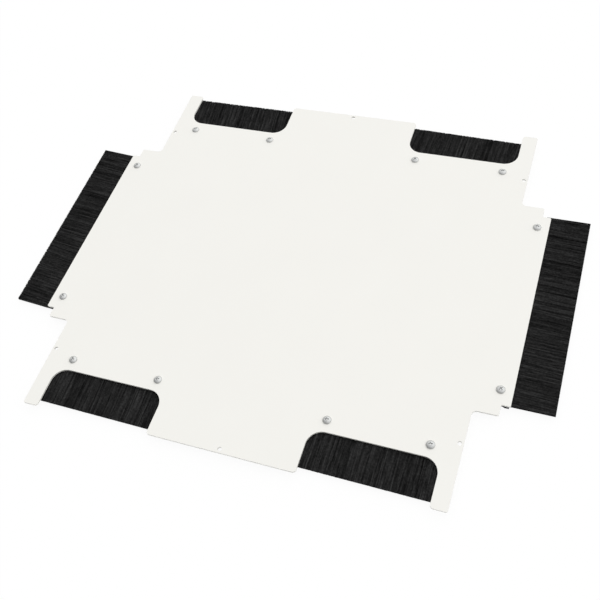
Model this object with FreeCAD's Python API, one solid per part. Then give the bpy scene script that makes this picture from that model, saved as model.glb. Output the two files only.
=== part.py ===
import FreeCAD, Part
import math
import os

from FreeCAD import Vector

# Cable entry panel for an equipment cabinet: a flat coated sheet with four open
# notches in its front and rear edges and a tongue on each side, and a brush strip
# under each of those six edges. All sizes are in millimetres. +Z is up, -Y is the
# front, +X is the right, and the origin is below the panel's middle, at the level
# of the screw tips.

# Sheet outline
plate_width = 450.0        # main rectangle, left to right
plate_depth = 469.5        # main rectangle, front to rear
plate_thickness = 2.0
shoulder_reach = 25.0      # how far a shoulder stands out of the main rectangle
shoulder_margin = 12.0     # shoulder length beyond each end of its tongue
tongue_reach = 9.0         # how far a tongue stands out of its shoulder
tongue_length = 236.0
tab_width = 16.7           # strip of sheet left outside each notch
notch_width = 128.7
notch_depth = 47.2

# Corner radii of the outline
notch_corner_radius = 16.0
notch_mouth_radius = 3.5
plate_corner_radius = 2.0
shoulder_corner_radius = 2.0
shoulder_root_radius = 5.0
tongue_corner_radius = 1.5
tongue_root_radius = 1.0

# Small fixing holes along the outer edges
fixing_hole_diameter = 4.3
fixing_hole_edge_distance = 4.0
fixing_hole_setback = 68.0  # from the front or rear edge to the holes of the sides

# Brush strips
strip_overlap = 2.4        # how far a notch strip runs under the sheet at each end
strip_end_inset = 0.25     # how far a side strip stays inside the ends of its tongue
screw_end_margin = 15.5    # from the end of a strip to its nearest screw
screw_edge_distance = 12.5
bristle_reach = 41.0       # free length beyond the edge of the sheet

# Folded clamp that holds the bristles
clamp_sheet = 0.8
hem_gap = 0.4              # between the two leaves where the screws pass
jaw_gap = 2.4              # between the two leaves where the bristles sit
mouth_setback = 1.5        # from the edge of the sheet back to the mouth of the jaw
clamp_heel = 8.0           # from the screws back to the fold
joggle_allowance = 1.0     # from the corners of a nut to the step of the lower leaf
bend_radius = 0.6          # inside radius of the step

# Bristles and the wire that they are doubled over
bristle_thickness = 3.0    # over the crests of the tufts
tuft_pitch = 4.0
tuft_groove_depth = 0.5
root_clearance = 0.3       # behind the bristle roots, in the jaw
wire_diameter = 1.2
wire_clearance = 0.05

# Screws and nuts
thread_diameter = 4.0
screw_hole_clearance = 0.25
thread_clearance = 0.05
head_diameter = 9.0
head_height = 2.7
head_side_height = 0.5     # from the seat to the bevel
head_crown_width = 8.4     # where the bevel meets the crown
head_crown_radius = 6.0
recess_width = 4.6
recess_floor_width = 1.8
recess_blade = 1.2
recess_depth = 1.6
tip_chamfer = 0.5
thread_stick_out = 1.3     # below the nut
nut_across_flats = 7.0
nut_height = 3.2
nut_chamfer_angle = 30.0   # degrees

# Levels
nut_level = thread_stick_out
clamp_level = nut_level + nut_height
hem_thickness = 2 * clamp_sheet + hem_gap
plate_level = clamp_level + hem_thickness
plate_top = plate_level + plate_thickness

# Derived places
plate_edge_x = plate_width / 2
plate_edge_y = plate_depth / 2
shoulder_edge_x = plate_edge_x + shoulder_reach
tongue_edge_x = shoulder_edge_x + tongue_reach
tongue_end_y = tongue_length / 2
shoulder_end_y = tongue_end_y + shoulder_margin
notch_outer_x = plate_edge_x - tab_width
notch_inner_x = notch_outer_x - notch_width
notch_edge_y = plate_edge_y - notch_depth
notch_middle_x = (notch_outer_x + notch_inner_x) / 2
notch_strip_length = notch_width + 2 * strip_overlap
side_strip_length = tongue_length - 2 * strip_end_inset
nut_corner_radius = nut_across_flats / 2 / math.cos(math.radians(30))

# Each strip: the middle of the sheet edge above it, the turn that points local +Y
# out of that edge, and the strip's length
STRIPS = {
    "front_left": ((-notch_middle_x, -notch_edge_y), 180.0, notch_strip_length),
    "front_right": ((notch_middle_x, -notch_edge_y), 180.0, notch_strip_length),
    "rear_left": ((-notch_middle_x, notch_edge_y), 0.0, notch_strip_length),
    "rear_right": ((notch_middle_x, notch_edge_y), 0.0, notch_strip_length),
    "left": ((-tongue_edge_x, 0.0), 90.0, side_strip_length),
    "right": ((tongue_edge_x, 0.0), -90.0, side_strip_length),
}


def rounded_outline(corners):
    """Closed wire through (x, y, radius) corners, each rounded by a tangent arc."""
    points = [Vector(x, y, 0) for x, y, radius in corners]
    count = len(points)
    starts, middles, ends = [], [], []
    for i, (x, y, radius) in enumerate(corners):
        here = points[i]
        back = (points[i - 1] - here).normalize()
        ahead = (points[(i + 1) % count] - here).normalize()
        half = back.getAngle(ahead) / 2
        bisector = (back + ahead).normalize()
        starts.append(here + back * (radius / math.tan(half)))
        ends.append(here + ahead * (radius / math.tan(half)))
        middles.append(here + bisector * (radius / math.sin(half) - radius))
    edges = []
    for i in range(count):
        edges.append(Part.Arc(starts[i], middles[i], ends[i]).toShape())
        edges.append(Part.LineSegment(ends[i], starts[(i + 1) % count]).toShape())
    return Part.Wire(edges)


def plate_corners():
    """The outline's corners, counter-clockwise, from one quarter and its mirror images."""
    quarter = [
        (tongue_edge_x, tongue_end_y, tongue_corner_radius),
        (shoulder_edge_x, tongue_end_y, tongue_root_radius),
        (shoulder_edge_x, shoulder_end_y, shoulder_corner_radius),
        (plate_edge_x, shoulder_end_y, shoulder_root_radius),
        (plate_edge_x, plate_edge_y, plate_corner_radius),
        (notch_outer_x, plate_edge_y, notch_mouth_radius),
        (notch_outer_x, notch_edge_y, notch_corner_radius),
        (notch_inner_x, notch_edge_y, notch_corner_radius),
        (notch_inner_x, plate_edge_y, notch_mouth_radius),
    ]
    rear_left = [(-x, y, r) for x, y, r in reversed(quarter)]
    front_left = [(-x, -y, r) for x, y, r in quarter]
    front_right = [(x, -y, r) for x, y, r in reversed(quarter)]
    return quarter + rear_left + front_left + front_right


def fixing_hole_places():
    """Four holes beside the side edges and one on the land between each pair of notches."""
    x = plate_edge_x - fixing_hole_edge_distance
    y = plate_edge_y - fixing_hole_setback
    land_y = plate_edge_y - fixing_hole_edge_distance
    corners = [(x, y), (-x, y), (-x, -y), (x, -y)]
    return corners + [(0.0, land_y), (0.0, -land_y)]


def to_panel(shape, name):
    """A shape of the local strip frame, moved to its strip's place under the sheet."""
    (x, y), turn, length = STRIPS[name]
    moved = shape.copy()
    moved.Placement = FreeCAD.Placement(
        Vector(x, y, plate_level), FreeCAD.Rotation(Vector(0, 0, 1), turn)
    ).multiply(moved.Placement)
    return moved


def screw_offsets(length):
    """Places of a strip's two screws along it."""
    along = length / 2 - screw_end_margin
    return [-along, along]


def screw_places():
    """Every screw's place on the panel, taken from its strip."""
    places = []
    for name, (middle, turn, length) in STRIPS.items():
        for along in screw_offsets(length):
            mark = Part.Vertex(along, -screw_edge_distance, 0)
            point = to_panel(mark, name).Point
            places.append((point.x, point.y))
    return places


def upright_holes(places, diameter, low, high):
    """Cylinders that run past a sheet between two levels."""
    past = high - low
    return [
        Part.makeCylinder(diameter / 2, 3 * past, Vector(x, y, low - past))
        for x, y in places
    ]


def make_plate():
    sheet = Part.Face(rounded_outline(plate_corners()))
    sheet = sheet.extrude(Vector(0, 0, plate_thickness))
    sheet.translate(Vector(0, 0, plate_level))
    screw_hole = thread_diameter + 2 * screw_hole_clearance
    holes = upright_holes(screw_places(), screw_hole, plate_level, plate_top)
    holes += upright_holes(
        fixing_hole_places(), fixing_hole_diameter, plate_level, plate_top
    )
    return sheet.cut(holes)


# Local strip frame: X along the strip, Y out of the sheet's edge, Z = 0 at the
# underside of the sheet.
mouth_y = -mouth_setback
fold_y = -(screw_edge_distance + clamp_heel)
step_drop = jaw_gap - hem_gap
step_start_y = -(screw_edge_distance - nut_corner_radius - joggle_allowance)
step_end_y = step_start_y + step_drop
root_y = step_end_y + root_clearance
bristle_level = -(clamp_sheet + jaw_gap / 2)
wire_y = (root_y + mouth_y) / 2


def edges_along_x(shape, y, z):
    """The edges of a prism along X that stand over the point (y, z) of its section."""
    found = []
    for edge in shape.Edges:
        points = [v.Point for v in edge.Vertexes]
        if len(points) == 2 and all(
            abs(p.y - y) < 1e-6 and abs(p.z - z) < 1e-6 for p in points
        ):
            found.append(edge)
    return found


def make_clamp(length):
    """One folded sheet: a flat upper leaf, a hem at the back, and a lower leaf that
    steps down from the hem to the jaw."""
    mitre = clamp_sheet * math.tan(math.radians(22.5))
    hem_top = -clamp_sheet
    hem_floor = hem_top - hem_gap
    hem_base = -hem_thickness
    jaw_floor = hem_top - jaw_gap
    jaw_base = jaw_floor - clamp_sheet
    fold_centre_y = fold_y + hem_thickness / 2
    fold_inner_y = fold_centre_y - hem_gap / 2

    def at(y, z):
        return Vector(-length / 2, y, z)

    def line(start, end):
        return Part.LineSegment(at(*start), at(*end)).toShape()

    def arc(start, middle, end):
        return Part.Arc(at(*start), at(*middle), at(*end)).toShape()

    inner_start = (step_start_y, hem_floor)
    inner_end = (step_end_y, jaw_floor)
    outer_start = (step_start_y - mitre, hem_base)
    outer_end = (step_end_y - mitre, jaw_base)
    section = Part.Wire([
        line((mouth_y, 0), (fold_centre_y, 0)),
        arc((fold_centre_y, 0), (fold_y, hem_base / 2), (fold_centre_y, hem_base)),
        line((fold_centre_y, hem_base), outer_start),
        line(outer_start, outer_end),
        line(outer_end, (mouth_y, jaw_base)),
        line((mouth_y, jaw_base), (mouth_y, jaw_floor)),
        line((mouth_y, jaw_floor), inner_end),
        line(inner_end, inner_start),
        line(inner_start, (fold_centre_y, hem_floor)),
        arc(
            (fold_centre_y, hem_floor),
            (fold_inner_y, hem_base / 2),
            (fold_centre_y, hem_top),
        ),
        line((fold_centre_y, hem_top), (mouth_y, hem_top)),
        line((mouth_y, hem_top), (mouth_y, 0)),
    ])
    clamp = Part.Face(section).extrude(Vector(length, 0, 0))
    outside_radius = bend_radius + clamp_sheet
    tight = edges_along_x(clamp, *outer_start) + edges_along_x(clamp, *inner_end)
    clamp = clamp.makeFillet(bend_radius, tight)
    wide = edges_along_x(clamp, *inner_start) + edges_along_x(clamp, *outer_end)
    clamp = clamp.makeFillet(outside_radius, wide)
    places = [(x, -screw_edge_distance) for x in screw_offsets(length)]
    screw_hole = thread_diameter + 2 * screw_hole_clearance
    return clamp.cut(upright_holes(places, screw_hole, hem_base, 0.0))


def tuft_section(length):
    """Section across the free bristles: a row of tufts with a groove between neighbours
    on the upper and the lower side."""
    count = max(1, round(length / tuft_pitch))
    pitch = length / count
    crest = bristle_thickness / 2
    groove = crest - tuft_groove_depth
    row = []
    for i in range(count):
        row.append((-length / 2 + i * pitch, groove))
        row.append((-length / 2 + (i + 0.5) * pitch, crest))
    row.append((length / 2, groove))
    upper = [Vector(x, mouth_y, bristle_level + z) for x, z in row]
    lower = [Vector(x, mouth_y, bristle_level - z) for x, z in reversed(row)]
    return Part.Face(Part.makePolygon(upper + lower + [upper[0]]))


def make_bristles(length):
    """The free bristles and their root in the jaw, doubled over the core wire."""
    free = tuft_section(length).extrude(Vector(0, bristle_reach - mouth_y, 0))
    root = Part.makeBox(
        length, mouth_y - root_y, jaw_gap,
        Vector(-length / 2, root_y, bristle_level - jaw_gap / 2),
    )
    bore = wire_diameter / 2 + wire_clearance
    tunnel = Part.makeCylinder(
        bore, length, Vector(-length / 2, wire_y, bristle_level), Vector(1, 0, 0)
    )
    return free.fuse(root).removeSplitter().cut(tunnel)


def make_wire(length):
    return Part.makeCylinder(
        wire_diameter / 2, length,
        Vector(-length / 2, wire_y, bristle_level), Vector(1, 0, 0),
    )


def make_screw():
    """Screw with a low domed head that points down, with the head seated on Z = 0."""
    radius = head_diameter / 2
    crown_z = head_height - head_crown_radius
    crown_edge = math.asin(head_crown_width / 2 / head_crown_radius)

    def on_crown(angle):
        return Vector(
            head_crown_radius * math.sin(angle), 0,
            crown_z + head_crown_radius * math.cos(angle),
        )

    bottom, top = Vector(0, 0, 0), on_crown(0)
    flank = Part.makePolygon([
        top, bottom, Vector(radius, 0, 0), Vector(radius, 0, head_side_height), on_crown(crown_edge),
    ])
    crown = Part.Arc(on_crown(crown_edge), on_crown(crown_edge / 2), top).toShape()
    section = Part.Wire(flank.Edges + [crown])
    head = Part.Face(section).revolve(bottom, Vector(0, 0, 1), 360)
    floor = head_height - recess_depth
    blade = Part.Face(Part.makePolygon([
        Vector(-recess_width / 2, -recess_blade / 2, head_height),
        Vector(recess_width / 2, -recess_blade / 2, head_height),
        Vector(recess_floor_width / 2, -recess_blade / 2, floor),
        Vector(-recess_floor_width / 2, -recess_blade / 2, floor),
        Vector(-recess_width / 2, -recess_blade / 2, head_height),
    ])).extrude(Vector(0, recess_blade, 0))
    crossed = blade.copy()
    crossed.rotate(Vector(0, 0, 0), Vector(0, 0, 1), 90)
    head = head.cut([blade, crossed])
    reach = plate_top
    shank = Part.makeCylinder(thread_diameter / 2, reach, Vector(0, 0, -reach))
    tip = [
        e for e in shank.Edges
        if isinstance(e.Curve, Part.Circle) and abs(e.Curve.Center.z + reach) < 1e-6
    ]
    return head.fuse(shank.makeChamfer(tip_chamfer, tip))


def make_nut():
    """Hexagon nut seated under Z = 0, with its free face chamfered."""
    corners = [
        Vector(
            nut_corner_radius * math.cos(math.radians(60 * i)),
            nut_corner_radius * math.sin(math.radians(60 * i)),
            -nut_height,
        )
        for i in range(7)
    ]
    body = Part.Face(Part.makePolygon(corners)).extrude(Vector(0, 0, nut_height))
    flat = nut_across_flats / 2
    slope = math.tan(math.radians(nut_chamfer_angle))
    rise = slope * (nut_corner_radius - flat)
    turned = Part.Face(Part.makePolygon([
        Vector(0, 0, -nut_height),
        Vector(flat, 0, -nut_height),
        Vector(nut_corner_radius, 0, -nut_height + rise),
        Vector(nut_corner_radius, 0, 0),
        Vector(0, 0, 0),
        Vector(0, 0, -nut_height),
    ])).revolve(Vector(0, 0, 0), Vector(0, 0, 1), 360)
    bore = thread_diameter / 2 + thread_clearance
    hole = Part.makeCylinder(bore, 3 * nut_height, Vector(0, 0, -2 * nut_height))
    return body.common(turned).cut(hole)


def at_each_screw(shape, level):
    """Copies of one fastener at every screw place, as separate solids."""
    copies = []
    for x, y in screw_places():
        copy = shape.Solids[0].copy()
        copy.translate(Vector(x, y, level))
        copies.append(copy)
    return Part.makeCompound(copies)


def save(shape, node):
    solids = shape.Solids
    result = solids[0] if len(solids) == 1 else Part.makeCompound(solids)
    result.exportStep("parts/" + node + ".step")
    box = result.BoundBox
    print(
        f"{node}: {len(solids)} solid(s), {result.Volume / 1000:.2f} cm3,"
        f" {box.XLength:.1f} x {box.YLength:.1f} x {box.ZLength:.1f} mm,"
        f" valid {result.isValid()}"
    )


os.makedirs("parts", exist_ok=True)
save(make_plate(), "cover_plate")
for strip, (middle, turn, length) in STRIPS.items():
    save(to_panel(make_clamp(length), strip), strip + "_clamp")
    save(to_panel(make_bristles(length), strip), strip + "_bristles")
    save(to_panel(make_wire(length), strip), strip + "_core_wire")
save(at_each_screw(make_screw(), plate_top), "pan_head_screws")
save(at_each_screw(make_nut(), clamp_level), "hex_nuts")
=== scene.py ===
# %% [markdown]
# # Brush cable entry panel
#
# The object is a white coated steel sheet that covers the cable opening of an equipment
# cabinet. Four notches and two side tongues carry black brush strips, so that cables can
# pass while dust and air stay out. The solids come from the CAD model in metres, +Z up,
# with the front at -Y. This lesson gives them their finishes, grows the bristles one by
# one, shapes the screws, and sets up the camera and a plain white studio.

# %% The frame
import math

import bpy
import numpy as np
from mathutils import Matrix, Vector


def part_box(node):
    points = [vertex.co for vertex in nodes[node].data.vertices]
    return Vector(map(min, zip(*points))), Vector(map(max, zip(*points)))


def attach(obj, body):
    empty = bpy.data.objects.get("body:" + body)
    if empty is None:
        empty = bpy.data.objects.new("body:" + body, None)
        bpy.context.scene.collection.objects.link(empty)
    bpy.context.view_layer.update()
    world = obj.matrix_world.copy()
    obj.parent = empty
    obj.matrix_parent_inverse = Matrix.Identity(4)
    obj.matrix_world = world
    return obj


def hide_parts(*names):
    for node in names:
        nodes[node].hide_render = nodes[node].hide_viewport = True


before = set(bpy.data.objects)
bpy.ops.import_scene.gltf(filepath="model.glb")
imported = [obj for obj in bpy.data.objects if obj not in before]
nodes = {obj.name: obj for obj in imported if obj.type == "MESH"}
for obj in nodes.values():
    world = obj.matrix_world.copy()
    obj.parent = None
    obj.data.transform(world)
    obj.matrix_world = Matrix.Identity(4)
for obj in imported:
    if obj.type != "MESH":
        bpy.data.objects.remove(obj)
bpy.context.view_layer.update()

MM = 0.001
PLATE_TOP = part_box("cover_plate")[1].z / MM
print("CAD nodes:", len(nodes), "top of the sheet at", round(PLATE_TOP, 2), "mm")

# %% [markdown]
# ## The camera
#
# The camera was solved from the outline of the sheet: a 50 mm lens on a 36 mm wide sensor,
# about one metre away, turned 30 degrees to the right and looking down by 55 degrees. The
# picture is also rolled, so the camera is built from its own right, up and back directions
# and not aimed by a tracking constraint, which would level the horizon.

# %% Camera
CAMERA_AZIMUTH, CAMERA_ELEVATION, CAMERA_ROLL = 30.441, 54.626, -14.538  # degrees
CAMERA_FROM_SHEET = np.array([284.70, -493.83, 731.13])  # mm, from the middle of its top
LENS, SENSOR_WIDTH = 50.0, 36.0  # mm


def camera_axes(azimuth, elevation, roll):
    """Right, up and back of a camera. Back points from the object to the camera at that azimuth
    and elevation, right is level, and both right and up are then turned by roll about back."""
    a, e, r = np.radians([azimuth, elevation, roll])
    back = np.array([np.sin(a) * np.cos(e), -np.cos(a) * np.cos(e), np.sin(e)])
    level = np.cross([0.0, 0.0, 1.0], back)
    level /= np.linalg.norm(level)
    upright = np.cross(back, level)
    right = np.cos(r) * level + np.sin(r) * upright
    up = np.cos(r) * upright - np.sin(r) * level
    return right, up, back


camera_data = bpy.data.cameras.new("camera")
camera_data.lens, camera_data.sensor_width = LENS, SENSOR_WIDTH
camera = bpy.data.objects.new("camera", camera_data)
bpy.context.scene.collection.objects.link(camera)
pose = np.eye(4)
pose[:3, :3] = np.column_stack(camera_axes(CAMERA_AZIMUTH, CAMERA_ELEVATION, CAMERA_ROLL))
pose[:3, 3] = (CAMERA_FROM_SHEET + [0.0, 0.0, PLATE_TOP]) * MM
camera.matrix_world = Matrix(pose.tolist())
bpy.context.scene.camera = camera
print("camera at", np.round(pose[:3, 3], 4), "m")

# %% [markdown]
# ## Helpers for finishes
#
# Colours are read from sRGB hex values, as a colour picker shows them, and one function turns
# them into the linear values that the shader needs. One small function adds any node, sets its
# properties and fills its inputs, so every finish below reads as a short list of nodes.

# %% Colour helper


def linear(hex_colour):
    """Linear RGBA of an sRGB hex colour: each channel c becomes c / 12.92 below 0.04045, and
    ((c + 0.055) / 1.055) to the power 2.4 above it."""
    c = np.array([int(hex_colour[i:i + 2], 16) for i in (1, 3, 5)]) / 255.0
    rgb = np.where(c <= 0.04045, c / 12.92, ((c + 0.055) / 1.055) ** 2.4)
    return (*rgb.tolist(), 1.0)


print("grey #808080 is", round(linear("#808080")[0], 3), "in linear light")

# %% Node helpers


def add_node(tree, kind, inputs=None, **settings):
    """A node of one kind with its settings. Each input, by name or number, is either a value
    or an output of another node to link."""
    node = tree.nodes.new(kind)
    for key, value in settings.items():
        setattr(node, key, value)
    for key, value in (inputs or {}).items():
        if isinstance(value, bpy.types.NodeSocket):
            tree.links.new(value, node.inputs[key])
        else:
            node.inputs[key].default_value = value
    return node


def new_finish(name):
    """A node material without nodes, its tree, and the Object coordinates for its patterns."""
    finish = bpy.data.materials.new(name)
    finish.use_nodes = True
    finish.node_tree.nodes.clear()
    place = add_node(finish.node_tree, "ShaderNodeTexCoord").outputs["Object"]
    return finish, finish.node_tree, place


def add_surface(tree, shader):
    """Makes a shader the surface of its material."""
    add_node(tree, "ShaderNodeOutputMaterial", {"Surface": shader.outputs[0]})


def per_metre(wavelength_mm):
    """Scale of a noise whose features repeat at a real size: one over that size in metres."""
    return 1.0 / (wavelength_mm * MM)


def give(finish, names):
    """Puts a finish in every material slot of the named CAD nodes."""
    for name in names:
        for material_slot in nodes[name].material_slots:
            material_slot.material = finish
    print(finish.name, "on", len(names), "CAD nodes")


print("a pattern that repeats every 2 mm has scale", per_metre(2.0))

# %% [markdown]
# ## The sheet: white powder coat
#
# The sheet is laser-cut steel with a baked powder coat. Powder melts into a skin of about
# 0.1 mm that rounds the cut edges and dries with a faint orange peel, so the finish is a warm
# white with a satin gloss, a very low bump of about 2 mm wavelength and hardly any mottling.
# The edges are too finely rounded to model on a sheet of this size, so a Bevel node bends the
# normal there and lets the edge catch the light.

# %% White powder coat
FACTOR, FIRST, SECOND, RESULT = 0, 6, 7, 2  # inputs and output of a Mix node for colours
powder_coat, tree, place = new_finish("white_powder_coat")
mottle = add_node(
    tree, "ShaderNodeTexNoise", {"Vector": place, "Scale": per_metre(60.0), "Detail": 2.0}
)
tint = add_node(
    tree, "ShaderNodeMix",
    {FACTOR: mottle.outputs["Fac"], FIRST: linear("#F0EFEA"), SECOND: linear("#F2F1EC")},
    data_type="RGBA",
)
peel = add_node(
    tree, "ShaderNodeTexNoise", {"Vector": place, "Scale": per_metre(2.0), "Detail": 1.0}
)
gloss = add_node(
    tree, "ShaderNodeMapRange", {"Value": peel.outputs["Fac"], "To Min": 0.40, "To Max": 0.48}
)
edge = add_node(tree, "ShaderNodeBevel", {"Radius": 0.2 * MM}, samples=6)
bump = add_node(
    tree, "ShaderNodeBump",
    {"Height": peel.outputs["Fac"], "Normal": edge.outputs[0], "Strength": 0.06, "Distance": 0.05 * MM},
)
shader = add_node(
    tree, "ShaderNodeBsdfPrincipled",
    {"Base Color": tint.outputs[RESULT], "Roughness": gloss.outputs[0], "Normal": bump.outputs[0]},
)
add_surface(tree, shader)
give(powder_coat, ["cover_plate"])

# %% [markdown]
# ## The clamps: thin black coat on folded steel
#
# Each strip is held by a folded sheet under the panel. Its black coat is thin, so it is a
# little rougher and less even than the white skin, and a fine grit breaks its gloss.

# %% Black coated steel
STRIP_NAMES = ["front_left", "front_right", "rear_left", "rear_right", "left", "right"]
black_coat, tree, place = new_finish("black_coated_steel")
cloud = add_node(
    tree, "ShaderNodeTexNoise", {"Vector": place, "Scale": per_metre(9.0), "Detail": 4.0}
)
tint = add_node(
    tree, "ShaderNodeMix",
    {FACTOR: cloud.outputs["Fac"], FIRST: linear("#151516"), SECOND: linear("#242426")},
    data_type="RGBA",
)
gloss = add_node(
    tree, "ShaderNodeMapRange", {"Value": cloud.outputs["Fac"], "To Min": 0.42, "To Max": 0.58}
)
grit = add_node(
    tree, "ShaderNodeTexNoise", {"Vector": place, "Scale": per_metre(0.6), "Detail": 2.0}
)
bump = add_node(
    tree, "ShaderNodeBump",
    {"Height": grit.outputs["Fac"], "Strength": 0.15, "Distance": 0.03 * MM},
)
shader = add_node(
    tree, "ShaderNodeBsdfPrincipled",
    {"Base Color": tint.outputs[RESULT], "Roughness": gloss.outputs[0], "Normal": bump.outputs[0]},
)
add_surface(tree, shader)
give(black_coat, [name + "_clamp" for name in STRIP_NAMES])

# %% [markdown]
# ## Screws, nuts and core wires: plated steel
#
# Bright zinc is a thin silvery plate. It is smooth but not a mirror, and handling leaves it
# slightly cloudy, which a low noise in the roughness gives. The core wires are hot galvanised:
# duller, with crystals of zinc a few millimetres across.

# %% Bright zinc
bright_zinc, tree, place = new_finish("bright_zinc")
haze = add_node(
    tree, "ShaderNodeTexNoise", {"Vector": place, "Scale": per_metre(1.5), "Detail": 3.0}
)
gloss = add_node(
    tree, "ShaderNodeMapRange", {"Value": haze.outputs["Fac"], "To Min": 0.20, "To Max": 0.32}
)
shader = add_node(
    tree, "ShaderNodeBsdfPrincipled",
    {"Base Color": linear("#C8C9C8"), "Metallic": 1.0, "Roughness": gloss.outputs[0]},
)
add_surface(tree, shader)
give(bright_zinc, ["pan_head_screws", "hex_nuts"])

# %% Galvanised wire
galvanised, tree, place = new_finish("galvanised_wire")
spangle = add_node(tree, "ShaderNodeTexVoronoi", {"Vector": place, "Scale": per_metre(2.5)})
tint = add_node(
    tree, "ShaderNodeMix",
    {FACTOR: spangle.outputs["Distance"], FIRST: linear("#8E9194"), SECOND: linear("#B4B7BA")},
    data_type="RGBA",
)
shader = add_node(
    tree, "ShaderNodeBsdfPrincipled",
    {"Base Color": tint.outputs[RESULT], "Metallic": 1.0, "Roughness": 0.42},
)
add_surface(tree, shader)
give(galvanised, [name + "_core_wire" for name in STRIP_NAMES])

# %% [markdown]
# ## Black nylon
#
# The filaments are extruded nylon, dyed black in the mass. They are dull, and no two lie quite
# alike, so neighbours differ in tone. Each filament carries its own tones as a mesh attribute,
# and the finish turns those numbers into a colour. A fine noise paints glints into that colour:
# painted highlights, with darker dips between them, that break up the shine of a filament every
# couple of millimetres. Tones are even steps to the eye, so a power turns them into light before
# they mix two blacks.

# %% Black nylon
EYE_POWER = 2.2             # from tone to light
PAINTED_GLINT = 0.12                # the most that a glint adds to a tone or takes from it
NOISE_LOW, NOISE_HIGH = 0.3, 0.7  # range that a noise seldom leaves
nylon, tree, place = new_finish("black_nylon")
tone = add_node(tree, "ShaderNodeAttribute", attribute_name="tone")
# painted glints: a fine noise lightens or darkens the colour of each filament, as glints of light would
sparkle = add_node(
    tree, "ShaderNodeTexNoise", {"Vector": place, "Scale": per_metre(2.0), "Detail": 1.0}
)
painted_glint = add_node(
    tree, "ShaderNodeMapRange",
    {
        "Value": sparkle.outputs["Fac"], "From Min": NOISE_LOW, "From Max": NOISE_HIGH,
        "To Min": -PAINTED_GLINT, "To Max": PAINTED_GLINT,
    },
)
tone_and_painted_glint = add_node(
    tree, "ShaderNodeMath", {0: tone.outputs["Fac"], 1: painted_glint.outputs[0]}, operation="ADD"
)
light = add_node(tree, "ShaderNodeMath", {0: tone_and_painted_glint.outputs[0], 1: EYE_POWER}, operation="POWER")
tint = add_node(
    tree, "ShaderNodeMix",
    {FACTOR: light.outputs[0], FIRST: linear("#090909"), SECOND: linear("#404040")},
    data_type="RGBA",
)
shader = add_node(
    tree, "ShaderNodeBsdfPrincipled",
    {"Base Color": tint.outputs[RESULT], "Roughness": 0.55, "Specular IOR Level": 0.02},
)
add_surface(tree, shader)
print("finishes:", len(bpy.data.materials))

# %% [markdown]
# ## Places of the strips
#
# Every strip is worked out once, lying with its jaw along X and its bristles towards +Y, and
# then turned and moved to its place. The clamps of the CAD model give the places: the mouth of
# a clamp is its outer edge, and the bristles leave from there.

# %% Strip frames
OUTWARD_TURN = {
    "front_left": 180, "front_right": 180, "rear_left": 0, "rear_right": 0, "left": 90, "right": -90,
}


def strip_frame(name):
    """Turn of a strip about Z as a matrix, the middle of its mouth at the level of the bristles,
    and its length, all in mm. The mouth is half the clamp's depth out from its middle."""
    low, high = (np.array(corner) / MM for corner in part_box(name + "_clamp"))
    pack_low, pack_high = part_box(name + "_bristles")
    a = math.radians(OUTWARD_TURN[name])
    turn = np.array([
        [math.cos(a), -math.sin(a), 0.0], [math.sin(a), math.cos(a), 0.0], [0.0, 0.0, 1.0],
    ])
    along, outward = np.abs(turn[:, 0]), turn[:, 1]
    mouth = (low + high) / 2 + outward * (np.abs(outward) @ (high - low)) / 2
    mouth[2] = (pack_low.z + pack_high.z) / 2 / MM
    return turn, mouth, along @ (high - low)


def to_panel(points, name):
    """Points of a strip's own frame, in mm, at its place on the panel, in metres."""
    turn, mouth = strip_frame(name)[:2]
    return (points.reshape(-1, 3) @ turn.T + mouth) * MM


for name in STRIP_NAMES:
    turn, mouth, length = strip_frame(name)
    print(name, "mouth at", np.round(mouth, 2), "mm, length", round(length, 2), "mm")

# %% [markdown]
# ## Meshes from arrays
#
# Every new piece ends as an array of points and an array of quads. One function turns them into
# a mesh, and one files the piece with the frame: it rides with the panel, replaces a CAD solid
# and fills a material slot.

# %% Mesh helpers


def quad_mesh(name, points, quads):
    """A smooth mesh from points in metres and rows of four point numbers."""
    mesh = bpy.data.meshes.new(name)
    mesh.vertices.add(len(points))
    mesh.vertices.foreach_set("co", points.astype(np.float32).ravel())
    mesh.loops.add(quads.size)
    mesh.loops.foreach_set("vertex_index", quads.astype(np.int32).ravel())
    mesh.polygons.add(len(quads))
    mesh.polygons.foreach_set("loop_start", np.arange(0, quads.size, 4, dtype=np.int32))
    mesh.polygons.foreach_set("use_smooth", np.ones(len(quads), dtype=bool))
    mesh.update(calc_edges=True)
    mesh.validate()
    return mesh


def repeated(quads, copies, points_each):
    """The quads of many copies of a shape whose points follow one another."""
    starts = np.arange(copies)[:, None, None] * points_each
    return (quads[None] + starts).reshape(-1, 4)


def file_piece(mesh, finish, node):
    """Puts a mesh into the scene as the piece that replaces a CAD node."""
    mesh.materials.append(finish)
    piece = bpy.data.objects.new(mesh.name, mesh)
    bpy.context.scene.collection.objects.link(piece)
    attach(piece, "root")
    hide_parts(node)
    print(piece.name, "has", 2 * len(mesh.polygons), "triangles")


print("two copies of a quad:", repeated(np.arange(4)[None], 2, 4).tolist())

# %% [markdown]
# ## The bristles
#
# A brush strip is a dense bed of nearly straight filaments that leave the clamp at right angles.
# A slab with a striped bump would look right only from above, so every filament is a real
# four-sided rod. One function works out all the rods of a strip at once, as an array with one
# row per filament, one column per ring along it, and four corners per ring.
#
# Real filaments are about 0.3 mm thick. They are drawn 0.5 mm thick, which is as coarse as
# they need to be to show as streaks in a picture of 600 pixels. Filaments cling together in
# clumps that lean, lie and shine alike, and the two lowest layers stay almost straight, so that
# no light comes through where clumps part.

# %% Filament sizes
FILAMENT_RADIUS = 0.25      # mm
FILAMENT_SPACING = 0.42     # mm along the strip
FILAMENT_LAYERS = 6
FILAMENT_RINGS = 7
ROOT = -3.0                 # mm from the mouth, inside the jaw
ROOT_HALF, TIP_HALF = 0.9, 1.2  # mm, half the height of the bed in the jaw and at the tips
TRIM_ERROR = 0.07           # mm
LEAN_EASE = 8.0             # mm from an end of the strip, over which the lean sets in

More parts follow.
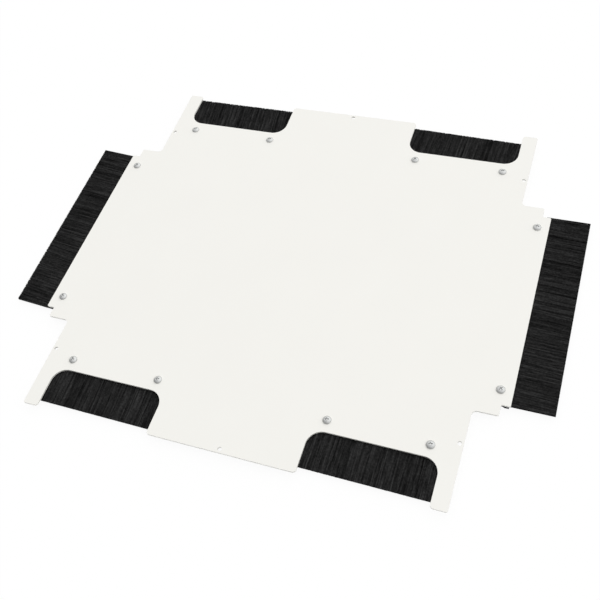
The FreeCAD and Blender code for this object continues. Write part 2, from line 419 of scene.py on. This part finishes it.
CLUMP_WIDTH = 1.1           # mm
CLUMP_STAGGER = 40.0        # mm, the most by which the clumps of a layer are moved along
BORDER_STRAY, STRAY_LENGTH = 1.5, 4.0  # mm, how far the borders of clumps stray, and how soon
CLUMP_LEAN, OWN_LEAN = 0.8, 0.25  # mm at the tip
STRAIGHT_LAYERS = 2
STRAIGHT_SHARE = 0.03       # of those leans, in the straight layers
CLUMP_LIFT, OWN_LIFT = 0.12, 0.05  # of half the height of the bed
TIP_CALM, CALM_POWER = 0.6, 4  # share of a lift that is lost at the tip, and how late

BAND_TONE, BAND_LENGTH = 0.05, 11.0  # tone, and mm along the strip
CLUMP_TONE, OWN_TONE, RIPPLE_TONE = 0.12, 0.05, 0.10
print("filaments", 2 * FILAMENT_RADIUS, "mm thick in", FILAMENT_LAYERS, "layers")

# %% Noise along a strip


def smooth_noise(x, wavelength, rng):
    """Noise along a strip: random knots one wavelength apart, joined by cosine steps."""
    span = (x - x.min()) / wavelength
    knots = rng.uniform(-1.0, 1.0, int(span.max()) + 3)
    i = span.astype(int)
    blend = 0.5 - 0.5 * np.cos(np.pi * (span - i))
    return knots[i] * (1.0 - blend) + knots[i + 1] * blend


# %% Filament beds


def filament_bed(length, reach, spread, sweep, drift, shift, painted_strip_shade, rng):
    """Corners of all the filaments of a strip in its own frame, in mm, and their tones. A filament
    starts at the root, leaves the mouth, and ends where the straight trim line from reach[0] to
    reach[1] cuts it. Its sideways place is its place at the root, plus the shift of the pack, plus
    a lean that grows from the mouth to the tip: the sweep of the strip, and away from its ends the
    drift of its middle, the clump's lean and its own. The bed is wider than the clamp by the
    spread, every second layer lies half a spacing further along, and the height grows from root to
    tip. A filament lies at its layer's height plus the clump's lift and its own, less a share of
    both that grows as a power of the way to the tip. A tone is the shade of the strip, which is
    painted shade and light that evens out how bright the dome makes each strip, plus a broad band,
    the clump's tone, the filament's own, and a ripple along the clump."""
    length = length + spread
    columns = round(length / FILAMENT_SPACING)
    column, layer = np.meshgrid(np.arange(columns), np.arange(FILAMENT_LAYERS), indexing="ij")
    column, layer = column.ravel(), layer.ravel()
    x = (column + 0.25 + 0.5 * (layer % 2)) / columns * length - length / 2
    along = x + rng.uniform(0.0, CLUMP_STAGGER, FILAMENT_LAYERS)[layer]
    along = along + BORDER_STRAY * smooth_noise(along, STRAY_LENGTH, rng)
    clump = np.floor(along / CLUMP_WIDTH).astype(int) + (layer + 1) * columns
    clump_tone, clump_lean, clump_lift = rng.normal(size=(3, clump.max() + 1))[:, clump]
    ripple = rng.normal(size=(clump.max() + 1, FILAMENT_RINGS))[clump]

    stray = np.where(layer < STRAIGHT_LAYERS, STRAIGHT_SHARE, 1.0)
    own_lean = stray * (CLUMP_LEAN * clump_lean + OWN_LEAN * rng.normal(size=x.size))
    from_end = length / 2 - np.abs(x)
    lean = sweep + np.minimum(from_end / LEAN_EASE, 1.0) * (drift + own_lean)
    height = (layer + 0.5) / FILAMENT_LAYERS * 2.0 - 1.0
    lift = CLUMP_LIFT * clump_lift + OWN_LIFT * rng.normal(size=x.size)
    trim = reach[0] + (reach[1] - reach[0]) * (x + length / 2) / length
    tip = (trim + TRIM_ERROR * rng.normal(size=x.size))[:, None]
    # the strip's shade is painted shade and light that evens out how bright the dome makes each strip
    tone = painted_strip_shade + BAND_TONE * smooth_noise(x, BAND_LENGTH, rng) + CLUMP_TONE * clump_tone
    tone = (tone + OWN_TONE * rng.normal(size=x.size))[:, None] + RIPPLE_TONE * ripple

    y = ROOT + (tip - ROOT) * np.linspace(0.0, 1.0, FILAMENT_RINGS)
    free = np.clip(y / tip, 0.0, 1.0)
    middle_x = x[:, None] + shift + lean[:, None] * free
    level = height[:, None] + lift[:, None] * (1.0 - TIP_CALM * free ** CALM_POWER)
    middle_z = level * (ROOT_HALF + (TIP_HALF - ROOT_HALF) * free)
    turn = np.arange(4) * np.pi / 2
    corners = np.empty((x.size, FILAMENT_RINGS, 4, 3))
    corners[..., 0] = middle_x[..., None] + FILAMENT_RADIUS * np.cos(turn)
    corners[..., 1] = y[..., None]
    corners[..., 2] = middle_z[..., None] + FILAMENT_RADIUS * np.sin(turn)
    return corners, np.clip(tone, 0.0, 1.0)


print("filaments in 100 mm of a strip:", FILAMENT_LAYERS * round(100.0 / FILAMENT_SPACING))

# %% Faces of a filament


def rod_quads(rings):
    """Quads of one closed four-sided rod: a side joins a corner and the next corner of two
    neighbouring rings, and each end is one quad."""
    ring, corner = np.meshgrid(np.arange(rings - 1), np.arange(4), indexing="ij")
    here, beside = ring * 4 + corner, ring * 4 + (corner + 1) % 4
    sides = np.stack([here, here + 4, beside + 4, beside], axis=-1).reshape(-1, 4)
    last = 4 * (rings - 1)
    ends = np.array([[0, 1, 2, 3], [last + 3, last + 2, last + 1, last]])
    return np.vstack([sides, ends])


def sharpen_cuts(mesh, rings):
    """Makes the edges around both ends of every rod sharp: those whose two points lie in the same
    ring, and in the first or the last ring of their rod. Smooth sides then keep their own shading
    up to the cut, and don't take on that of the end."""
    points = np.empty(2 * len(mesh.edges), dtype=np.int32)
    mesh.edges.foreach_get("vertices", points)
    ring, other_ring = points.reshape(-1, 2).T // 4 % rings
    mesh.edges.foreach_set("use_edge_sharp", (ring == other_ring) & (ring % (rings - 1) == 0))


print("a filament has", len(rod_quads(FILAMENT_RINGS)), "faces")

# %% [markdown]
# Each strip is trimmed and laid by hand, so no two are alike: the free edge of the rear right
# one runs askew, the left one is swept towards the rear, and the right one sits a little to the
# rear in its clamp. For each strip the table gives, in millimetres, the reach of the bristles
# from the mouth at its two ends, the spread past the ends of the clamp, the sweep of all the tips
# along the strip, the drift of the tips between the ends, and the shift of the whole pack along
# the clamp. Last comes the shade of its nylon, from 0 to 1: painted shade and light, lower for
# the strips that would come out brighter under the dome and higher for those that would come out
# darker, so that all six look about equally dark. A strip runs from left to right for someone who
# looks along its bristles to the tips.

# %% Six strips
# the last column, shade, is painted shade and light: lower where a strip would come out brighter under
# the dome, higher where darker
STRIP_LAY = {  # reach at both ends, spread, sweep, drift, shift, shade
    "front_left": ((42.0, 40.7), 0.0, 0.0, -2.2, 0.0, 0.65),
    "front_right": ((41.8, 41.0), 0.0, 0.0, 0.0, 0.0, 0.68),
    "rear_left": ((44.9, 44.7), 0.0, 0.0, -5.6, 0.0, 0.64),
    "rear_right": ((42.2, 38.9), 0.0, 0.0, 2.0, 0.0, 0.63),
    "left": ((44.1, 45.7), 1.9, 3.0, 1.8, 0.4, 0.72),
    "right": ((42.7, 43.1), 1.7, 0.0, 2.2, -2.5, 0.72),
}
BRISTLE_SEED = 700
for order, name in enumerate(STRIP_NAMES):
    length = strip_frame(name)[2]
    rng = np.random.default_rng(BRISTLE_SEED + order)
    corners, tones = filament_bed(length, *STRIP_LAY[name], rng)
    quads = repeated(rod_quads(FILAMENT_RINGS), len(corners), 4 * FILAMENT_RINGS)
    mesh = quad_mesh(name + "_filaments", to_panel(corners, name), quads)
    sharpen_cuts(mesh, FILAMENT_RINGS)
    tone_of_point = mesh.attributes.new("tone", "FLOAT", "POINT")
    tone_of_point.data.foreach_set("value", np.repeat(tones.ravel(), 4).astype(np.float32))
    file_piece(mesh, nylon, name + "_bristles")

# %% [markdown]
# ## The screws
#
# The CAD screws have a bevelled head and a plain shank. Here each gets the rounded edge of a
# pressed low dome, its tapered cross recess, and a thread where the tip shows under its nut.
#
# A head is a square grid bent into a disc, which has no pole in the middle of the recess and lets
# grid lines run along the walls of the cross. The distance from the middle of the disc is a length
# along the profile of the head: over the crown, round the edge and down the side. From the rim of
# that grid, rings of points go down under the head and along the shank, and a second disc closes
# the tip.

# %% Screw head
HEAD_RADIUS, HEAD_HEIGHT = 4.5, 2.7  # mm
CROWN_RADIUS, EDGE_RADIUS = 6.0, 0.7  # mm
PROFILE_STEPS = 40          # points on the arc of the crown and on that of the edge
RECESS_BLADE, RECESS_DEPTH = 1.2, 1.6  # mm
RECESS_WIDTH, RECESS_FLOOR = 4.6, 1.8  # mm, across the top and the floor


def head_profile():
    """Lengths along the head's profile from its top, with the radius and height there. The crown
    is an arc about the axis, the edge a smaller arc that leaves it smoothly, the side upright."""
    crown_z = HEAD_HEIGHT - CROWN_RADIUS
    edge_r = HEAD_RADIUS - EDGE_RADIUS
    edge_z = crown_z + math.sqrt((CROWN_RADIUS - EDGE_RADIUS) ** 2 - edge_r ** 2)
    lean = math.atan2(edge_r, edge_z - crown_z)
    crown = np.linspace(0.0, lean, PROFILE_STEPS)
    edge = np.linspace(lean, math.pi / 2, PROFILE_STEPS)
    radius = np.concatenate([
        CROWN_RADIUS * np.sin(crown), edge_r + EDGE_RADIUS * np.sin(edge), [HEAD_RADIUS]
    ])
    height = np.concatenate([
        crown_z + CROWN_RADIUS * np.cos(crown), edge_z + EDGE_RADIUS * np.cos(edge), [0.0]
    ])
    steps = np.hypot(np.diff(radius), np.diff(height))
    return np.concatenate([[0.0], np.cumsum(steps)]), radius, height


def recess_depth(x, y):
    """Depth of the cross below the top of the head: along each arm it grows evenly from the end of
    the arm to the edge of the floor, and it is nothing outside the arms."""
    slope = RECESS_DEPTH / ((RECESS_WIDTH - RECESS_FLOOR) / 2)
    along_x = np.clip((RECESS_WIDTH / 2 - np.abs(x)) * slope, 0.0, RECESS_DEPTH)
    along_y = np.clip((RECESS_WIDTH / 2 - np.abs(y)) * slope, 0.0, RECESS_DEPTH)
    in_x, in_y = np.abs(y) < RECESS_BLADE / 2, np.abs(x) < RECESS_BLADE / 2
    return np.maximum(along_x * in_x, along_y * in_y)


profile_length = head_profile()[0][-1]
print("profile of a head:", round(profile_length, 2), "mm long")

# %% Screw thread
THREAD_RADIUS, THREAD_PITCH, THREAD_DEPTH = 2.0, 0.7, 0.4  # mm
CREST_CUT = 1.3             # height of the sharp ridge before its crest is cut to 1
TIP_RADIUS = 1.5            # mm, inside the chamfer of the tip


def thread_radius(angle, z, tip_z):
    """Radius of the thread: a ridge that climbs one pitch per turn, rises and falls evenly and has
    a flattened crest, cut off by the chamfer, which opens by 45 degrees from the tip."""
    phase = (z / THREAD_PITCH - angle / (2 * np.pi)) % 1.0
    ridge = np.clip(CREST_CUT * (1.0 - 2.0 * np.abs(phase - 0.5)), 0.0, 1.0)
    return np.minimum(THREAD_RADIUS - THREAD_DEPTH * (1.0 - ridge), TIP_RADIUS + z - tip_z)


print("thread", THREAD_DEPTH, "mm deep, one turn every", THREAD_PITCH, "mm")

# %% Screw grid
WALL_FOOT, WALL_TOP = 0.01, 0.03  # mm, grid lines inside and outside a wall of the cross
MORE_LINES = (0.9, 1.3, 1.75, 2.3, 2.9, 3.5, 4.15, 4.79, 5.06, 5.33)  # mm along the profile
wall = RECESS_BLADE / 2
half_grid = np.array([0.0, wall - WALL_FOOT, wall + WALL_TOP, *MORE_LINES, profile_length])
grid_lines = np.concatenate([-half_grid[:0:-1], half_grid]) / profile_length


def disc(lines):
    """A square grid bent into a disc: u and v become u times the root of 1 - v^2 / 2, and v times
    the root of 1 - u^2 / 2. Gives the distance from the middle and the angle of each point."""
    u, v = np.meshgrid(lines, lines, indexing="ij")
    x, y = u * np.sqrt(1.0 - v ** 2 / 2), v * np.sqrt(1.0 - u ** 2 / 2)
    return np.hypot(x, y).ravel(), np.arctan2(y, x).ravel()


def rim_points(width):
    """Numbers of the points around the rim of a square grid of that many lines: up one side, along
    the next, down the third and back along the fourth."""
    k, last = np.arange(width - 1), width - 1
    return np.concatenate([k * width, last * width + k, (last - k) * width + last, last - k])


print(grid_lines.size, "lines each way, with", rim_points(grid_lines.size).size, "points on the rim")

# %% Screw points
SCREW_LENGTH = PLATE_TOP    # mm, from the seat to the floor of the frame
THREAD_SHOWN = 1.9          # mm of the tip that carries a thread
THREAD_ROWS = 15
THREAD_START = 0.1          # mm in which the plain shank turns into thread


def screw_points(lines):
    """Points of one screw with its seat at Z = 0, in mm, as head, shank and tip. The head is the
    disc laid over the profile and pressed in by the depth of the recess. The shank is rings as far
    out as the thread, and the tip is the disc again, laid flat."""
    length, radius, height = head_profile()
    rho, angle = disc(lines)
    r, z = (np.interp(rho * length[-1], length, values) for values in (radius, height))
    x, y = r * np.cos(angle), r * np.sin(angle)
    depth = recess_depth(x, y)
    z = np.where(depth > 0.0, np.minimum(z, HEAD_HEIGHT - depth), z)
    head = np.column_stack([x, y, z])

    around = angle[rim_points(lines.size)]
    rows = np.linspace(THREAD_SHOWN, 0.0, THREAD_ROWS, endpoint=False) - SCREW_LENGTH
    ring_z = np.concatenate([[0.0, rows[0] + THREAD_START], rows])[:, None] * np.ones(around.size)
    ring_r = thread_radius(around, ring_z, -SCREW_LENGTH)
    ring_r[:2] = THREAD_RADIUS
    shank = np.stack([ring_r * np.cos(around), ring_r * np.sin(around), ring_z], axis=-1)
    flat_r = thread_radius(0.0, np.full(rho.size, -SCREW_LENGTH), -SCREW_LENGTH) * rho
    tip = np.column_stack([
        flat_r * np.cos(angle), flat_r * np.sin(angle), np.full(rho.size, -SCREW_LENGTH)
    ])
    return head, shank, tip


head, shank, tip = screw_points(grid_lines)
points = np.vstack([head, shank.reshape(-1, 3), tip])
print("one screw has", len(points), "points")

# %% Screw faces


def screw_quads(width, shank_rings):
    """Quads of a screw: the cells of the head's grid, then sides that join the rim of the head to
    the first ring of the shank, each ring to the next and the last one to the rim of the tip, and
    the cells of the tip's grid, turned round."""
    i, j = np.meshgrid(np.arange(width - 1), np.arange(width - 1), indexing="ij")
    cell = (i * width + j).ravel()
    cap = np.column_stack([cell, cell + width, cell + width + 1, cell + 1])
    rim = rim_points(width)
    shank_start = width ** 2
    tip_start = shank_start + shank_rings * rim.size
    inner = np.arange(shank_start, tip_start).reshape(-1, rim.size)
    rings = np.vstack([rim, inner, tip_start + rim])
    upper, lower = rings[:-1], rings[1:]
    sides = np.stack(
        [upper, lower, np.roll(lower, -1, axis=1), np.roll(upper, -1, axis=1)], axis=-1
    )
    return np.vstack([cap, sides.reshape(-1, 4), tip_start + cap[:, ::-1]])


quads = screw_quads(grid_lines.size, len(shank))
print("one screw has", len(quads), "quads")

# %% [markdown]
# Two screws hold each strip. They sit a fixed distance from its ends and behind its mouth, and
# their heads rest on the sheet. A screw stops turning wherever it is tight, so each cross gets its
# own angle.

# %% Twelve screws
SCREW_FROM_END, SCREW_FROM_MOUTH = 15.5, 11.0  # mm
SCREW_SEED = 12
SHARP_ANGLE = 35.0          # degrees between faces, past which an edge stays sharp
seats = []
for name in STRIP_NAMES:
    reach = strip_frame(name)[2] / 2 - SCREW_FROM_END
    pair = np.array([[-reach, -SCREW_FROM_MOUTH, 0.0], [reach, -SCREW_FROM_MOUTH, 0.0]])
    seats.append(to_panel(pair, name))
seats = np.vstack(seats)
seats[:, 2] = PLATE_TOP * MM
stop = np.random.default_rng(SCREW_SEED).uniform(0.0, np.pi / 2, len(seats))[:, None]
turned = np.stack([
    points[:, 0] * np.cos(stop) - points[:, 1] * np.sin(stop),
    points[:, 0] * np.sin(stop) + points[:, 1] * np.cos(stop),
    np.broadcast_to(points[:, 2], (len(seats), len(points))),
], axis=-1)
placed = (turned * MM + seats[:, None]).reshape(-1, 3)
mesh = quad_mesh("threaded_screws", placed, repeated(quads, len(seats), len(points)))
mesh.set_sharp_from_angle(angle=math.radians(SHARP_ANGLE))
file_piece(mesh, bright_zinc, "pan_head_screws")

# %% [markdown]
# ## The studio
#
# The panel lies on a plain white floor under very even light, from a dome alone. The dome lights
# the flat sheet as evenly as white paper, but it is brightest high up towards the rear right and
# dim low down at the front, which gives the domed screws their shape and darkens the near faces of
# the sheet. Its level on a flat surface is about the horizon's plus two thirds of what the top
# adds, which makes one.
#
# Floor and dome are plain white to the camera and through glass. Reflections see the white floor
# too, but the dome keeps most of its shading there, because metal under plain white would look
# flat. Most of the floor's brightness is its own, so that the soft shadow of the panel stays but is
# faint.

# %% Rays that see the background


def background_rays(tree, gloss_share):
    """One for rays from the camera and through glass, a share for reflections, and nothing for
    rays that carry light to a surface: the greatest of the three."""
    ray = add_node(tree, "ShaderNodeLightPath").outputs
    gloss = add_node(
        tree, "ShaderNodeMath", {0: ray["Is Glossy Ray"], 1: gloss_share}, operation="MULTIPLY"
    )
    seen = add_node(
        tree, "ShaderNodeMath", {0: ray["Is Camera Ray"], 1: gloss.outputs[0]}, operation="MAXIMUM"
    )
    return add_node(
        tree, "ShaderNodeMath", {0: seen.outputs[0], 1: ray["Is Transmission Ray"]}, operation="MAXIMUM"
    )


# %% White floor
FLOOR_SIDE = 12.0           # m
OWN_LIGHT = 0.93            # share of the floor's brightness that no shadow dims
floor_mesh = bpy.data.meshes.new("floor")
half = FLOOR_SIDE / 2
floor_mesh.from_pydata(
    [(-half, -half, 0), (half, -half, 0), (half, half, 0), (-half, half, 0)], [], [(0, 1, 2, 3)]
)
floor = bpy.data.objects.new("floor", floor_mesh)
bpy.context.scene.collection.objects.link(floor)

paper, tree = new_finish("white_paper")[:2]
matt = add_node(tree, "ShaderNodeBsdfDiffuse", {"Color": linear("#FFFFFF")})
glow = add_node(tree, "ShaderNodeEmission", {"Color": linear("#FFFFFF"), "Strength": 1.0})
seen = background_rays(tree, 1.0)
share = add_node(tree, "ShaderNodeMath", {0: seen.outputs[0], 1: OWN_LIGHT}, operation="MULTIPLY")
mixed = add_node(
    tree, "ShaderNodeMixShader", {0: share.outputs[0], 1: matt.outputs[0], 2: glow.outputs[0]}
)
add_surface(tree, mixed)
floor_mesh.materials.append(paper)
print("floor", FLOOR_SIDE, "m wide")

# %% Dome of light
HORIZON, DIMMEST = 0.50, 0.20  # brightness at the level of the floor, on average and at least
BRIGHT_TOWARDS = (0.36, 0.73, 0.75)  # what is added towards the right, the rear and the top
WHITE_IN_GLOSS = 0.3        # share of plain white in what the metal reflects of the dome
world = bpy.data.worlds.new("studio_dome")
bpy.context.scene.world = world
world.use_nodes = True
tree = world.node_tree
tree.nodes.clear()
direction = add_node(tree, "ShaderNodeTexCoord").outputs["Generated"]
tilt = add_node(
    tree, "ShaderNodeVectorMath", {0: direction, 1: BRIGHT_TOWARDS}, operation="DOT_PRODUCT"
)
level = add_node(tree, "ShaderNodeMath", {0: tilt.outputs["Value"], 1: HORIZON}, operation="ADD")
level = add_node(tree, "ShaderNodeMath", {0: level.outputs[0], 1: DIMMEST}, operation="MAXIMUM")
dome = add_node(
    tree, "ShaderNodeBackground", {"Color": linear("#FFFFFF"), "Strength": level.outputs[0]}
)
plain = add_node(tree, "ShaderNodeBackground", {"Color": linear("#FFFFFF"), "Strength": 1.0})
seen = background_rays(tree, WHITE_IN_GLOSS)
mixed = add_node(
    tree, "ShaderNodeMixShader", {0: seen.outputs[0], 1: dome.outputs[0], 2: plain.outputs[0]}
)
add_node(tree, "ShaderNodeOutputWorld", {"Surface": mixed.outputs[0]})
bpy.context.scene.view_settings.view_transform = "Standard"
print("dome brighter towards", BRIGHT_TOWARDS)
